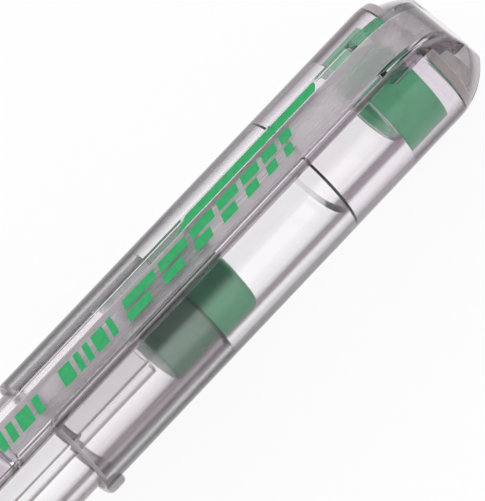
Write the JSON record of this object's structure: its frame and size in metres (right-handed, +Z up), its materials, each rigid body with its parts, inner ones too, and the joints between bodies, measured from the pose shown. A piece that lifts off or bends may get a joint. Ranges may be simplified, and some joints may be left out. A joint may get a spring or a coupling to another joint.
{
  "type": "capped stick ballpoint pen",
  "caption": "Clear stick ballpoint pen with a clear clip cap pushed over the tail of its barrel, green plug, seal and ink.",
  "frame": {"origin": "on the table under the middle of the posted pen's length, under the pen's axis", "axes": "+X along the pen towards the cap's closed end, +Z up, on the pocket clip's side"},
  "size_m": [0.1654, 0.0108, 0.0136],
  "materials": {
    "clear_plastic": "polished clear moulding",
    "green_plastic": "smooth moulded",
    "plated_metal": "bright nickel plate",
    "white_plastic": "natural moulded",
    "tube_plastic": "translucent extruded",
    "green_ink": "wet",
    "grease": "wet",
    "ball_metal": "polished carbide"
  },
  "bodies": {
    "pen": {"barrel": "clear_plastic", "tail_plug": "green_plastic", "nose_cone": "plated_metal", "tip_holder": "white_plastic", "refill_tube": "tube_plastic", "ink_column": "green_ink", "grease_follower": "grease", "writing_tip": "plated_metal"},
    "cap": {"cap_shell": "clear_plastic", "inner_seal": "green_plastic"},
    "clip": {"clip_arm": "clear_plastic"},
    "ball": {"writing_ball": "ball_metal"}
  },
  "joints": [
    {"name": "cap_pull", "type": "slide", "parent": "pen", "child": "cap", "axis": [1, 0, 0], "range_m": [0, 0.03]},
    {"name": "clip_flex", "type": "hinge", "parent": "cap", "child": "clip", "pos_m": [0.07522, 0, 0.0136], "axis": [0, 1, 0], "range_deg": [0, 4], "stiffness_Nm_per_rad": 3},
    {"name": "ball_roll", "type": "hinge", "parent": "pen", "child": "ball", "pos_m": [-0.08233, 0, 0.00545], "axis": [0, 1, 0], "continuous": true}
  ]
}
